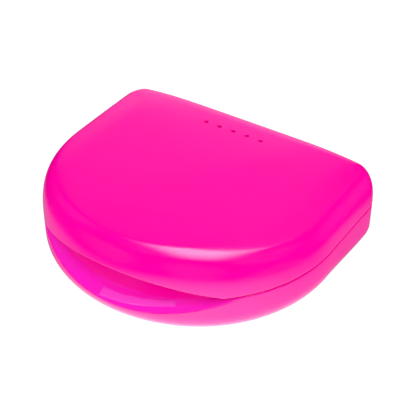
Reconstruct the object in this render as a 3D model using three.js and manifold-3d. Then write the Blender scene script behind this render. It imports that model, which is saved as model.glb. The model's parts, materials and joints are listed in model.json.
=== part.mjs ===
// Boxing mouthguard in its hinged case: base, lid, hinge pin and a two-layer mouthguard.
// Millimetres. +X runs along the hinge, +Y points back to the hinge and +Z is up.
// The origin is on the resting surface, under the middle of the closed case.
import * as THREE from 'three';
import { mergeVertices } from 'three/addons/utils/BufferGeometryUtils.js';
import Module from 'manifold-3d';

const wasm = await Module();
wasm.setup();

const { cos, sin, sqrt, min, max, abs, PI } = Math;
const rad = THREE.MathUtils.degToRad;
const lerp = THREE.MathUtils.lerp;

// ---- Driving dimensions ------------------------------------------------------------------

// Plan outline at the parting line: one arc across the front, a tighter arc round each
// shoulder, a straight side that closes in slightly, and a small corner at the hinge edge.
const FRONT_RADIUS = 41.55;
const FRONT_ANGLE = rad(28.35);
const SHOULDER_RADIUS = 38.6;
const SIDE_ANGLE = rad(90.7);
const SIDE_LENGTH = 21.75;
const CORNER_RADIUS = 6.6;

const PARTING_HEIGHT = 12.7;
const CASE_HEIGHT = 25.8;
const PARTING_GAP = 0.3;
const WALL = 1.5;

// Each triple holds the value at the front, at the sides and at the back of the case.
const BASE_DRAFT = 0.24;
const BASE_ROUNDING = [7.3, 7.3, 5.5];
// The lid's side is a quarter of a superellipse that rises from the parting line. It stops at
// LID_ROLL_END, where it meets the domed top in a soft crease.
const LID_ROLL_INSET = [6.6, 8.5, 5.25];
const LID_ROLL_POWER = 2.95;
const LID_ROLL_END = rad(78);
// How far the domed top has fallen at its front, side and back edge.
const DOME_SAG = [0.5, 2.9, 2.0];

// Thumb recess: an arc of one radius cuts up into the lid and down into the base. The base
// is scooped inwards there, and its tongue stands up behind the lid's arch.
const THUMB_ARC_RADIUS = 80;
const LID_ARCH_HEIGHT = 4.75;
const SCOOP_HEIGHT = 6.1;
const SCOOP_INSET = 3.5;
// How far the scoop's top lies below the rim, as a share of the scoop's height.
const SCOOP_TOP_DROP = 0.43;
const TONGUE_HEIGHT = 6.2;
const TONGUE_HALF_WIDTH = 27;
const TONGUE_LEAN = 2.3;
const THUMB_PAD = { from: -3.6, to: 17.2, proud: 0.4 };

const VENT_COUNT = 5;
const VENT_PITCH = 4.25;
const VENT_RADIUS = 0.65;
const VENT_FROM_BACK = 10.3;

const KNUCKLE_COUNT = 5;
const KNUCKLE_LENGTH = 8.4;
const KNUCKLE_GAP = 0.4;
const KNUCKLE_RADIUS = 2.2;
const HINGE_STANDOFF = 2.7;
const PIN_RADIUS = 0.95;
const BORE_RADIUS = 1.25;

// Mouthguard: a U-shaped trough that follows the dental arch.
const GUARD_ARCH_HALF_WIDTH = 21.5;
const GUARD_ARCH_DEPTH = 26;
const GUARD_LEG_LENGTH = 13;
const GUARD_LEG_SPREAD = 1.0;
const GUARD_FRONT_GAP = 12;
const GUARD_LIFT_OFF_FLOOR = 0.3;
const GUARD_HALF_THICKNESS = 7.2;
const GUARD_MOLAR_WIDENING = 1.28;
const GUARD_FRONT_HEIGHT = 17.8;
const GUARD_MOLAR_HEIGHT = 12.5;
const GUARD_TONGUE_SIDE_HEIGHT = 9.5;
const FRENUM_NOTCH = 2.6;
const SHELL_WALL = 2.5;
const LINER_WALL = 1.4;
const LAYER_GAP = 0.3;

// ---- Plan outline ------------------------------------------------------------------------

const halfOutline = (steps) => {
  const points = [];
  const arc = (cx, cy, r, from, to, count) => {
    for (let i = 0; i < count; i++) {
      const a = lerp(from, to, i / count);
      points.push({ x: cx + r * sin(a), y: cy - r * cos(a), nx: sin(a), ny: -cos(a) });
    }
  };
  const shoulderX = (FRONT_RADIUS - SHOULDER_RADIUS) * sin(FRONT_ANGLE);
  const shoulderY = FRONT_RADIUS - (FRONT_RADIUS - SHOULDER_RADIUS) * cos(FRONT_ANGLE);
  const side = { nx: sin(SIDE_ANGLE), ny: -cos(SIDE_ANGLE) };
  const sideX = shoulderX + SHOULDER_RADIUS * side.nx;
  const sideY = shoulderY + SHOULDER_RADIUS * side.ny;
  const endX = sideX + SIDE_LENGTH * cos(SIDE_ANGLE);
  const endY = sideY + SIDE_LENGTH * sin(SIDE_ANGLE);
  const cornerX = endX - CORNER_RADIUS * side.nx;
  const cornerY = endY - CORNER_RADIUS * side.ny;

  arc(0, FRONT_RADIUS, FRONT_RADIUS, 0, FRONT_ANGLE, steps.front);
  arc(shoulderX, shoulderY, SHOULDER_RADIUS, FRONT_ANGLE, SIDE_ANGLE, steps.shoulder);
  for (let i = 0; i < steps.side; i++) {
    const t = i / steps.side;
    points.push({ x: lerp(sideX, endX, t), y: lerp(sideY, endY, t), ...side });
  }
  arc(cornerX, cornerY, CORNER_RADIUS, SIDE_ANGLE, PI, steps.corner);
  for (let i = 0; i <= steps.back; i++) {
    points.push({ x: lerp(cornerX, 0, i / steps.back), y: cornerY + CORNER_RADIUS, nx: 0, ny: 1 });
  }
  return points;
};

const rightHalf = halfOutline({ front: 7, shoulder: 13, side: 3, corner: 5, back: 5 });
const CASE_DEPTH = rightHalf[rightHalf.length - 1].y;
const HINGE_Y = CASE_DEPTH + HINGE_STANDOFF;
const leftHalf = rightHalf.slice(1, -1).reverse().map((p) => ({ ...p, x: -p.x, nx: -p.nx }));
const outline = [...rightHalf, ...leftHalf];

// Weighs a front, side and back value by the direction in which the outline faces.
const facing = (p, [front, side, back]) => {
  const towardFront = max(-p.ny, 0) ** 2;
  const towardBack = max(p.ny, 0) ** 2;
  return front * towardFront + back * towardBack + side * (1 - towardFront - towardBack);
};

const inset = (p, distance, z) => new THREE.Vector3(p.x - p.nx * distance, p.y - p.ny * distance, z);

// Height of the thumb arc over its chord at x, on the front of the case only.
const thumbArc = (p, height) => {
  if (p.ny > 0 || abs(p.x) > THUMB_ARC_RADIUS) return 0;
  return max(0, sqrt(THUMB_ARC_RADIUS ** 2 - p.x ** 2) - (THUMB_ARC_RADIUS - height));
};

// ---- Meshes ------------------------------------------------------------------------------

const meshGeometry = (points, triangles) => {
  const geometry = new THREE.BufferGeometry().setFromPoints(points);
  geometry.setIndex(triangles);
  return geometry;
};

// Closes a stack of rings into one skin, with a fan at the first and the last ring's middle.
const skin = (firstPole, rings, lastPole) => {
  const count = rings[0].length;
  const points = [firstPole, ...rings.flat(), lastPole];
  const triangles = [];
  const at = (ring, i) => 1 + ring * count + (i % count);
  const last = rings.length - 1;
  for (let i = 0; i < count; i++) {
    triangles.push(0, at(0, i + 1), at(0, i));
    triangles.push(points.length - 1, at(last, i), at(last, i + 1));
    for (let ring = 0; ring < last; ring++) {
      triangles.push(at(ring, i), at(ring, i + 1), at(ring + 1, i + 1));
      triangles.push(at(ring, i), at(ring + 1, i + 1), at(ring + 1, i));
    }
  }
  return meshGeometry(points, triangles);
};

// Joins equal sections along a path into one bar, with both ends capped.
const loft = (sections, profile) => {
  const count = profile.length;
  const triangles = [];
  const at = (section, i) => section * count + (i % count);
  const last = sections.length - 1;
  for (let s = 0; s < last; s++) {
    for (let i = 0; i < count; i++) {
      triangles.push(at(s, i), at(s, i + 1), at(s + 1, i + 1));
      triangles.push(at(s, i), at(s + 1, i + 1), at(s + 1, i));
    }
  }
  for (const [a, b, c] of THREE.ShapeUtils.triangulateShape(profile, [])) {
    triangles.push(at(0, a), at(0, c), at(0, b));
    triangles.push(at(last, a), at(last, b), at(last, c));
  }
  return meshGeometry(sections.flat(), triangles);
};

const toSolid = (geometry) => {
  const bare = geometry.clone();
  bare.deleteAttribute('normal');
  bare.deleteAttribute('uv');
  const merged = mergeVertices(bare, 1e-4);
  const vertProperties = new Float32Array(merged.attributes.position.array);
  const triVerts = new Uint32Array(merged.index.array);
  return new wasm.Manifold(new wasm.Mesh({ numProp: 3, vertProperties, triVerts }));
};

const toGeometry = (solid) => {
  const mesh = solid.getMesh();
  const geometry = new THREE.BufferGeometry();
  const positions = new Float32Array(mesh.numVert * 3);
  for (let v = 0; v < mesh.numVert; v++) {
    const start = mesh.numProp * v;
    positions.set(mesh.vertProperties.slice(start, start + 3), 3 * v);
  }
  geometry.setAttribute('position', new THREE.BufferAttribute(positions, 3));
  geometry.setIndex(new THREE.BufferAttribute(new Uint32Array(mesh.triVerts), 1));
  return geometry;
};

const barAlongX = (radius, length, x, y, z, sides = 20) => {
  const geometry = new THREE.CylinderGeometry(radius, radius, length, sides);
  return geometry.rotateZ(PI / 2).translate(x, y, z);
};

const box = (low, high) => {
  const size = high.map((value, axis) => value - low[axis]);
  const middle = high.map((value, axis) => (value + low[axis]) / 2);
  return new THREE.BoxGeometry(...size).translate(...middle);
};

// ---- Case base ---------------------------------------------------------------------------

const RIM_Z = PARTING_HEIGHT - PARTING_GAP / 2;
const RIM_STEP = 0.3;
const RIM_DRAFT = 0.2;

// Inset of the wall's outer face, or of its inner face where thickness is WALL.
const baseWallInset = (p, z, thickness = 0) => {
  const outerRadius = facing(p, BASE_ROUNDING);
  const radius = outerRadius - thickness;
  const drop = max(0, outerRadius - z);
  const rounding = outerRadius - sqrt(max(0, radius ** 2 - drop ** 2));
  return BASE_DRAFT * (1 - z / PARTING_HEIGHT) + rounding;
};

const scoopEdgeZ = (p) => RIM_Z - thumbArc(p, SCOOP_HEIGHT);
const scoopDepth = (p) => SCOOP_INSET * sqrt(thumbArc(p, SCOOP_HEIGHT) / SCOOP_HEIGHT);
const scoopTopZ = (p) => RIM_Z - SCOOP_TOP_DROP * thumbArc(p, SCOOP_HEIGHT);
const tongueShare = (p) => (p.ny < 0 ? max(0, 1 - (p.x / TONGUE_HALF_WIDTH) ** 2) : 0);
const tongueTopZ = (p) => RIM_Z + TONGUE_HEIGHT * tongueShare(p);

// A point on the concave curve from a low edge up to a vertical wall.
const scoopCurve = (low, high, t) => {
  const controlZ = lerp(low.z, high.z, 0.6);
  const across = (1 - t) ** 2 * low.inset + (1 - (1 - t) ** 2) * high.inset;
  const up = (1 - t) ** 2 * low.z + 2 * t * (1 - t) * controlZ + t ** 2 * high.z;
  return { inset: across, z: up };
};

const baseSection = (p) => {
  const section = [];
  const add = (distance, z) => section.push(inset(p, distance, z));
  const radius = facing(p, BASE_ROUNDING);
  const edgeZ = scoopEdgeZ(p);
  const roundingTop = min(radius, edgeZ - 1);
  for (const step of [0, 0.3, 0.6, 0.85, 1]) {
    const z = radius * (1 - cos(step * Math.acos(1 - roundingTop / radius)));
    add(baseWallInset(p, z), z);
  }
  const outerLow = { inset: baseWallInset(p, edgeZ), z: edgeZ };
  const outerHigh = { inset: RIM_STEP + scoopDepth(p), z: scoopTopZ(p) };
  for (const t of [0, 0.35, 0.7, 1]) {
    const { inset: distance, z } = scoopCurve(outerLow, outerHigh, t);
    add(distance, z);
  }
  const lean = RIM_DRAFT + TONGUE_LEAN * tongueShare(p);
  add(outerHigh.inset + lean, tongueTopZ(p));
  add(outerHigh.inset + lean + WALL - RIM_STEP - RIM_DRAFT, tongueTopZ(p));

  const innerFootZ = edgeZ - 1.3;
  const innerLow = { inset: baseWallInset(p, innerFootZ, WALL), z: innerFootZ };
  const innerHigh = { inset: max(innerLow.inset, outerHigh.inset + WALL - RIM_STEP), z: outerHigh.z - 0.2 };
  for (const t of [1, 0.7, 0.35, 0]) {
    const { inset: distance, z } = scoopCurve(innerLow, innerHigh, t);
    add(distance, z);
  }
  const innerTop = min(radius, innerFootZ - 0.8);
  for (const step of [1, 0.7, 0.35, 0]) {
    const z = WALL + (innerTop - WALL) * (1 - cos(step * PI / 2));
    add(baseWallInset(p, z, WALL), z);
  }
  return section;
};

// Turns one section for each outline point into rings round the case.
const ringsFrom = (sectionAt) => {
  const sections = outline.map(sectionAt);
  return sections[0].map((_, ring) => sections.map((section) => section[ring]));
};

const CASE_CENTRE_Y = CASE_DEPTH / 2;
const knuckleCentreX = (index) => (index - (KNUCKLE_COUNT - 1) / 2) * (KNUCKLE_LENGTH + KNUCKLE_GAP);

// Adds every second hinge knuckle, with the web that ties it to the wall, and bores them.
const addKnuckles = (shell, firstIndex, webLowZ, webHighZ) => {
  let solid = shell;
  for (let index = firstIndex; index < KNUCKLE_COUNT; index += 2) {
    const x = knuckleCentreX(index);
    const half = KNUCKLE_LENGTH / 2;
    const barrel = toSolid(barAlongX(KNUCKLE_RADIUS, KNUCKLE_LENGTH, x, HINGE_Y, PARTING_HEIGHT));
    const webFront = CASE_DEPTH - WALL * 0.6;
    const web = toSolid(box([x - half, webFront, webLowZ], [x + half, HINGE_Y, webHighZ]));
    solid = solid.add(barrel.add(web));
  }
  const span = knuckleCentreX(KNUCKLE_COUNT);
  const bore = toSolid(barAlongX(BORE_RADIUS, 2 * span, 0, HINGE_Y, PARTING_HEIGHT));
  return solid.subtract(bore);
};

// A low grip pad that follows the scoop's curve.
const thumbPad = () => {
  const sections = [];
  const steps = 10;
  const heights = [0.1, 0.35, 0.6, 0.85];
  let profile = [];
  for (let i = steps; i >= 0; i--) {
    const t = i / steps;
    const x = lerp(THUMB_PAD.from, THUMB_PAD.to, t);
    const y = FRONT_RADIUS - sqrt(FRONT_RADIUS ** 2 - x ** 2);
    const p = { x, y, nx: x / FRONT_RADIUS, ny: (y - FRONT_RADIUS) / FRONT_RADIUS };
    const edgeZ = scoopEdgeZ(p);
    const low = { inset: baseWallInset(p, edgeZ), z: edgeZ };
    const high = { inset: RIM_STEP + scoopDepth(p), z: scoopTopZ(p) };
    const lift = lerp(0.08, 0.34, t);
    const curve = heights.map((h) => scoopCurve(low, high, lerp(lift, 0.8, (h - 0.1) / 0.75)));
    const front = curve.map((c) => ({ inset: c.inset - THUMB_PAD.proud, z: c.z + THUMB_PAD.proud * 0.5 }));
    const back = curve.map((c) => ({ inset: c.inset + THUMB_PAD.proud, z: c.z - THUMB_PAD.proud * 0.5 }));
    const ring = [...front, ...back.reverse()];
    sections.push(ring.map((c) => inset(p, c.inset, c.z)));
    profile = ring.map((c) => new THREE.Vector2(-c.inset, c.z));
  }
  return loft(sections, profile);
};

const makeBase = () => {
  const rings = ringsFrom(baseSection);
  const underside = new THREE.Vector3(0, CASE_CENTRE_Y, 0);
  const floor = new THREE.Vector3(0, CASE_CENTRE_Y, WALL);
  const shell = toSolid(skin(underside, rings, floor));
  const webHighZ = PARTING_HEIGHT - PARTING_GAP / 2;
  const withHinge = addKnuckles(shell, 0, PARTING_HEIGHT - KNUCKLE_RADIUS, webHighZ);
  return toGeometry(withHinge.add(toSolid(thumbPad())));
};

// ---- Case lid ----------------------------------------------------------------------------

const LID_RIM_Z = PARTING_HEIGHT + PARTING_GAP / 2;
const HALF_WIDTH = max(...outline.map((p) => p.x));

// Shares of the roll's inset and height at an angle on the superellipse.
const rollInset = (angle) => 1 - cos(angle) ** (2 / LID_ROLL_POWER);
const rollHeight = (angle) => sin(angle) ** (2 / LID_ROLL_POWER);
const rollAngle = (heightShare) => Math.asin(max(0, heightShare) ** (LID_ROLL_POWER / 2));

const CREASE_INSET = LID_ROLL_INSET.map((reach) => reach * rollInset(LID_ROLL_END));
const DOME_REACH = [CASE_CENTRE_Y, HALF_WIDTH, CASE_CENTRE_Y].map((half, i) => half - CREASE_INSET[i]);

const domeZ = (x, y) => {
  const [frontSag, sideSag, backSag] = DOME_SAG;
  const [frontReach, sideReach, backReach] = DOME_REACH;
  const back = y > CASE_CENTRE_Y;
  const alongX = sideSag * (x / sideReach) ** 2;
  const alongY = (back ? backSag : frontSag) * ((y - CASE_CENTRE_Y) / (back ? backReach : frontReach)) ** 2;
  return CASE_HEIGHT - Math.cbrt(alongX ** 3 + alongY ** 3);
};

// Full height of the superellipse at one outline point, so that it ends on the domed top.
const rollRise = (p, thickness) => {
  const end = inset(p, facing(p, CREASE_INSET), 0);
  return (domeZ(end.x, end.y) - thickness - PARTING_HEIGHT) / rollHeight(LID_ROLL_END);
};

const lidRoll = (p, angle, thickness) => ({
  inset: thickness + (facing(p, LID_ROLL_INSET) - thickness) * rollInset(angle),
  z: PARTING_HEIGHT + rollRise(p, thickness) * rollHeight(angle),
});

// Points of the roll from the lid's rim, at height rimZ, up to the crease.
const lidSide = (p, rimZ, thickness) => {
  const start = rollAngle((rimZ - PARTING_HEIGHT) / rollRise(p, thickness));
  const shares = [0, 0.2, 0.4, 0.57, 0.72, 0.86, 1];
  return shares.map((share) => {
    const roll = lidRoll(p, lerp(start, LID_ROLL_END, share ** 1.5), thickness);
    return inset(p, roll.inset, roll.z);
  });
};

// Point on the domed top, at a share of the way from the middle to the crease.
const lidDome = (p, share, thickness) => {
  const edge = inset(p, lidRoll(p, LID_ROLL_END, thickness).inset, 0);
  const x = edge.x * share;
  const y = lerp(CASE_CENTRE_Y, edge.y, share);
  return new THREE.Vector3(x, y, domeZ(x, y) - thickness);
};

const lidSection = (p) => {
  const domeShares = [0.35, 0.68];
  const rimZ = LID_RIM_Z + thumbArc(p, LID_ARCH_HEIGHT);
  const inside = domeShares.map((share) => lidDome(p, share, WALL));
  const outside = domeShares.map((share) => lidDome(p, share, 0));
  return [...inside, ...lidSide(p, rimZ, WALL).reverse(), ...lidSide(p, rimZ, 0), ...outside.reverse()];
};

const makeLid = () => {
  const ceiling = new THREE.Vector3(0, CASE_CENTRE_Y, CASE_HEIGHT - WALL);
  const top = new THREE.Vector3(0, CASE_CENTRE_Y, CASE_HEIGHT);
  const shell = toSolid(skin(ceiling, ringsFrom(lidSection), top));
  let solid = addKnuckles(shell, 1, PARTING_HEIGHT + PARTING_GAP / 2, PARTING_HEIGHT + KNUCKLE_RADIUS);
  for (let i = 0; i < VENT_COUNT; i++) {
    const drill = new THREE.CylinderGeometry(VENT_RADIUS, VENT_RADIUS, 4 * WALL, 12).rotateX(PI / 2);
    const x = (i - (VENT_COUNT - 1) / 2) * VENT_PITCH;
    drill.translate(x, CASE_DEPTH - VENT_FROM_BACK, CASE_HEIGHT);
    solid = solid.subtract(toSolid(drill));
  }
  return toGeometry(solid);
};

// ---- Mouthguard --------------------------------------------------------------------------

const GUARD_FLOOR_Z = WALL + GUARD_LIFT_OFF_FLOOR;
const GUARD_ARCH_Y = GUARD_FRONT_GAP + GUARD_HALF_THICKNESS + GUARD_ARCH_DEPTH;
const ARCH_STEPS = 24;
const LEG_STEPS = 3;

// Stations along the dental arch, from right to left. toMolar runs from 0 at the front to 1.
const archStations = () => {
  const right = [];
  for (let i = 0; i <= ARCH_STEPS / 2; i++) {
    const a = (i / (ARCH_STEPS / 2)) * (PI / 2);
    const normal = new THREE.Vector2(GUARD_ARCH_DEPTH * sin(a), -GUARD_ARCH_HALF_WIDTH * cos(a)).normalize();
    const x = GUARD_ARCH_HALF_WIDTH * sin(a);
    right.push({ x, y: GUARD_ARCH_Y - GUARD_ARCH_DEPTH * cos(a), nx: normal.x, ny: normal.y });
  }
  for (let i = 1; i <= LEG_STEPS; i++) {
    const t = i / LEG_STEPS;
    const x = GUARD_ARCH_HALF_WIDTH + GUARD_LEG_SPREAD * t;
    right.push({ x, y: GUARD_ARCH_Y + GUARD_LEG_LENGTH * t, nx: 1, ny: 0 });
  }
  right.forEach((station, i) => {
    station.toMolar = i / (right.length - 1);
  });
  const left = right.slice(1).map((station) => ({ ...station, x: -station.x, nx: -station.nx }));
  return [...right.reverse(), ...left];
};

const guardHeights = (station) => {
  const fall = THREE.MathUtils.smoothstep(station.toMolar, 0.3, 1);
  const notch = FRENUM_NOTCH * Math.exp(-((station.x / 3) ** 2)) * (station.toMolar < 0.5 ? 1 : 0);
  const lip = lerp(GUARD_FRONT_HEIGHT, GUARD_MOLAR_HEIGHT, fall) - notch;
  return { lip, tongue: lerp(GUARD_TONGUE_SIDE_HEIGHT, GUARD_TONGUE_SIDE_HEIGHT - 1, fall) };
};

// U-shaped section: [across, up] with across positive towards the lips.
const shellProfile = ({ lip, tongue }) => {
  const h = GUARD_HALF_THICKNESS;
  const w = SHELL_WALL;
  return [
    [h - 2.2, 0], [h - 0.5, 1.2], [h, 3.5], [h - 0.3, lip - 1.2], [h - 1.2, lip],
    [h - w, lip - 1.0], [h - w, w + 1], [h - w - 1, w], [1 + w - h, w], [w - h, w + 1],
    [w - h, tongue - 0.8], [1.2 - h, tongue], [0.3 - h, tongue - 1.0], [-h, 3], [0.5 - h, 1.1], [2 - h, 0],
  ];
};

const linerProfile = ({ lip, tongue }) => {
  const h = GUARD_HALF_THICKNESS - SHELL_WALL - LAYER_GAP;
  const floor = SHELL_WALL + LAYER_GAP;
  const w = LINER_WALL;
  return [
    [h - 1.1, floor], [h, floor + 1.1], [h, lip - 2.2], [h - 0.7, lip - 1.5], [h - w, lip - 2.2],
    [h - w, floor + w + 0.8], [h - w - 0.8, floor + w], [0.8 + w - h, floor + w], [w - h, floor + w + 0.8],
    [w - h, tongue - 2.0], [0.7 - h, tongue - 1.4], [-h, tongue - 2.0], [-h, floor + 1.1], [1.1 - h, floor],
  ];
};

// Ends taper a little, so that the heel of the guard isn't a square cut.
const makeTrough = (profileAt) => {
  const stations = archStations();
  const last = stations.length - 1;
  let outlineAtEnd = [];
  const sections = stations.map((station, i) => {
    const wide = lerp(1, GUARD_MOLAR_WIDENING, THREE.MathUtils.smoothstep(station.toMolar, 0.15, 0.9));
    const heel = i === 0 || i === last ? 0.94 : 1;
    const profile = profileAt(guardHeights(station));
    outlineAtEnd = profile.map(([across, up]) => new THREE.Vector2(across, up));
    return profile.map(([across, up]) => {
      const offset = across * wide * heel;
      const x = station.x + station.nx * offset;
      const y = station.y + station.ny * offset;
      return new THREE.Vector3(x, y, GUARD_FLOOR_Z + up);
    });
  });
  return loft(sections, outlineAtEnd);
};

// ---- Assembly ----------------------------------------------------------------------------

const material = (color, roughness) => new THREE.MeshStandardMaterial({ color, roughness, metalness: 0 });
const casePlastic = material(0xfd19aa, 0.28);
const guardRubber = material(0x1b1b1f, 0.45);
const linerGel = material(0xff5fc0, 0.35);
const steel = new THREE.MeshStandardMaterial({ color: 0xc8c8cc, roughness: 0.3, metalness: 1 });

const pinLength = KNUCKLE_COUNT * KNUCKLE_LENGTH + (KNUCKLE_COUNT - 1) * KNUCKLE_GAP;

const base = makeBase();
const lid = makeLid();
const foremost = min(...[base, lid].map((geometry) => {
  geometry.computeBoundingBox();
  return geometry.boundingBox.min.y;
}));
const middleY = (foremost + HINGE_Y + KNUCKLE_RADIUS) / 2;

const part = new THREE.Group();
const place = (name, geometry, look) => {
  const mesh = new THREE.Mesh(geometry, look);
  mesh.name = name;
  mesh.position.y = -middleY;
  part.add(mesh);
};

place('base_shell', base, casePlastic);
place('lid_shell', lid, casePlastic.clone());
place('hinge_pin', barAlongX(PIN_RADIUS, pinLength, 0, HINGE_Y, PARTING_HEIGHT), steel);
place('guard_shell', makeTrough(shellProfile), guardRubber);
place('guard_liner', makeTrough(linerProfile), linerGel);

export default part;
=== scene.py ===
"""Looks for the boxing mouthguard in its hinged case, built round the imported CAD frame.

Shapes are worked out in millimetres, in plan coordinates with y = 0 at the front of the case,
and moved into the frame, in metres, when a mesh is made.
"""
import json
import math

import bpy
import numpy as np
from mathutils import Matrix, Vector


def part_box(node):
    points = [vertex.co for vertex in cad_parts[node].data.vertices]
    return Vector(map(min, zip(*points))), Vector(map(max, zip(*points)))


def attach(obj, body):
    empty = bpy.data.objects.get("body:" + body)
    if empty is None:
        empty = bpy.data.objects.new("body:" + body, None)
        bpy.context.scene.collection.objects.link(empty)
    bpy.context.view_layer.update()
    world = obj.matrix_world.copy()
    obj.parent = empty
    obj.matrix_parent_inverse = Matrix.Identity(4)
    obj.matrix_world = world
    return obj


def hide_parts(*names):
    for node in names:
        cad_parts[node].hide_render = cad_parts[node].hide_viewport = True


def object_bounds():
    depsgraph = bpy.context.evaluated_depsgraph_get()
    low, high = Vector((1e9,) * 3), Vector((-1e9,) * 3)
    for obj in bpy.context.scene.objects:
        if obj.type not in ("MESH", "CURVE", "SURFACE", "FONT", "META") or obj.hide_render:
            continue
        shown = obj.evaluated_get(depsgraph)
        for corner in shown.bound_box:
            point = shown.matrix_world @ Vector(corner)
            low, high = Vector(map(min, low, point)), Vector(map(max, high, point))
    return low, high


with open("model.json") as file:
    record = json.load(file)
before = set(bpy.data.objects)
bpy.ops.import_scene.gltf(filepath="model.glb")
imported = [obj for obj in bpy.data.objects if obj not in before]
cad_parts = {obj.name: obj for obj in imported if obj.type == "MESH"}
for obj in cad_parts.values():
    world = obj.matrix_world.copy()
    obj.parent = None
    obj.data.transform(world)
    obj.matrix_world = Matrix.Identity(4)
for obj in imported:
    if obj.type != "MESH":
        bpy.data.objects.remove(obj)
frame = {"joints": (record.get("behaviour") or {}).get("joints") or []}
cad_low, cad_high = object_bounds()

MM = 0.001

# ---- Driving dimensions, in millimetres ------------------------------------------------------

FRONT_RADIUS = 41.55
FRONT_ANGLE = math.radians(28.35)
SHOULDER_RADIUS = 38.6
SIDE_ANGLE = math.radians(90.7)
SIDE_LENGTH = 21.75
CORNER_RADIUS = 6.6

WALL = 1.5
PARTING_GAP = 0.3
EDGE_RADIUS = 0.3
BASE_DRAFT = 0.24
PANEL_RECESS = 0.35

# Each triple holds the value at the front, at the sides and at the back of the case.
BASE_ROUNDING = (7.3, 7.3, 5.5)
LID_ROLL_INSET = (6.6, 8.5, 5.25)
DOME_SAG = (0.5, 2.9, 2.0)
CREASE_SOFTNESS_DEG = (2, 16, 9)
CREASE_ON_TOP = (0.01, 0.13, 0.06)

# The base's rounding shrinks towards the back corners, to stay under their radius.
CORNER_ROUNDING = 6.1
ROUNDING_EASES_FROM_Y = 40.0

# The lid's side is a quarter of a superellipse that stops short at the crease.
LID_ROLL_POWER = 2.95
LID_ROLL_END = math.radians(78)

# Thumb recess. SCOOP_CORNER is the corner of the scoop's curve, as shares of its depth and
# height, and SCOOP_TOP_DROP is how far its top lies below the rim, as a share of its height.
THUMB_ARC_RADIUS = 80.0
LID_ARCH_HEIGHT = 4.75
SCOOP_HEIGHT = 6.1
SCOOP_INSET = 3.0
SCOOP_TOP_DROP = 0.46
SCOOP_CORNER = (0.75, 0.5)
SCOOP_EXTRA_INSIDE = 0.5
SCOOP_ENDS_BY_Y = 16.0
RIM_LAND = 0.8
RIM_DRAFT = 0.15
TONGUE_HEIGHT = 6.2
TONGUE_HALF_WIDTH = 27.0
TONGUE_LEAN = 2.7

# The grip pad's low edge slants: these are shares of the scoop's curve, left end first.
PAD_FROM, PAD_TO, PAD_PROUD = -3.6, 17.2, 0.4
PAD_LOW_EDGE = (0.08, 0.34)
PAD_TOP_EDGE = 0.8
PAD_OUTWARDS, PAD_UPWARDS = 0.8, 0.6
# How far a face stands proud of the scoop to get the pad's painted reflection, a lighter colour.
PAD_PAINTED_LIGHT_FROM = 0.3

VENT_COUNT, VENT_PITCH, VENT_RADIUS, VENT_FROM_BACK = 5, 4.25, 0.55, 10.3

KNUCKLE_COUNT, KNUCKLE_LENGTH, KNUCKLE_GAP, KNUCKLE_RADIUS = 5, 8.4, 0.4, 2.2
HINGE_STANDOFF = 2.7
BORE_RADIUS = 1.25

ARCH_HALF_WIDTH, ARCH_DEPTH, LEG_LENGTH, LEG_SPREAD = 21.5, 26.0, 13.0, 1.0
GUARD_FRONT_GAP, GUARD_FLOOR_Z, GUARD_HALF, MOLAR_WIDENING = 12.0, 1.8, 7.2, 1.28
FRONT_HEIGHT, MOLAR_HEIGHT, TONGUE_SIDE_HEIGHT, FRENUM_NOTCH = 17.8, 12.5, 9.5, 2.6
SHELL_WALL, LINER_WALL, LAYER_GAP = 2.5, 1.4, 0.3
SHELL_HEEL_RADIUS, LINER_HEEL_RADIUS = 0.35, 0.25
RIB_PITCH, TOOTH_PITCH = 3.1, 6.6

hinge = next(j for j in frame["joints"] if j["name"] == "lid_hinge")
HINGE_Y = hinge["pos_m"][1] / MM
PARTING_Z = hinge["pos_m"][2] / MM
CASE_TOP = cad_high.z / MM


# ---- Plan outline ----------------------------------------------------------------------------

def half_outline(front, shoulder, side, corner, back):
    """Right half of the plan outline, from the middle of the front to the middle of the back."""
    rows = []

    def arc(cx, cy, radius, start, stop, count):
        for a in np.linspace(start, stop, count, endpoint=False):
            nx, ny = math.sin(a), -math.cos(a)
            rows.append((cx + radius * nx, cy + radius * ny, nx, ny))

    shift = FRONT_RADIUS - SHOULDER_RADIUS
    shoulder_x = shift * math.sin(FRONT_ANGLE)
    shoulder_y = FRONT_RADIUS - shift * math.cos(FRONT_ANGLE)
    nx, ny = math.sin(SIDE_ANGLE), -math.cos(SIDE_ANGLE)
    side_x, side_y = shoulder_x + SHOULDER_RADIUS * nx, shoulder_y + SHOULDER_RADIUS * ny
    end_x = side_x + SIDE_LENGTH * math.cos(SIDE_ANGLE)
    end_y = side_y + SIDE_LENGTH * math.sin(SIDE_ANGLE)
    corner_x, corner_y = end_x - CORNER_RADIUS * nx, end_y - CORNER_RADIUS * ny

    arc(0, FRONT_RADIUS, FRONT_RADIUS, 0, FRONT_ANGLE, front)
    arc(shoulder_x, shoulder_y, SHOULDER_RADIUS, FRONT_ANGLE, SIDE_ANGLE, shoulder)
    for t in np.linspace(0, 1, side, endpoint=False):
        rows.append((side_x + t * (end_x - side_x), side_y + t * (end_y - side_y), nx, ny))
    arc(corner_x, corner_y, CORNER_RADIUS, SIDE_ANGLE, math.pi, corner)
    for t in np.linspace(0, 1, back + 1):
        rows.append((corner_x * (1 - t), corner_y + CORNER_RADIUS, 0.0, 1.0))
    return np.array(rows)


def full_outline(**steps):
    """Columns x, y, nx, ny all the way round, counter-clockwise from the middle of the front."""
    right = half_outline(**steps)
    left = right[1:-1][::-1] * (-1, 1, -1, 1)
    return np.concatenate([right, left])


PX, PY, NX, NY = full_outline(front=40, shoulder=64, side=14, corner=18, back=24).T
CASE_DEPTH = PY.max()
CENTRE_Y = CASE_DEPTH / 2
FRONT_Y = HINGE_Y - HINGE_STANDOFF - CASE_DEPTH
RIM_Z = PARTING_Z - PARTING_GAP / 2
LID_RIM_Z = PARTING_Z + PARTING_GAP / 2


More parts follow.
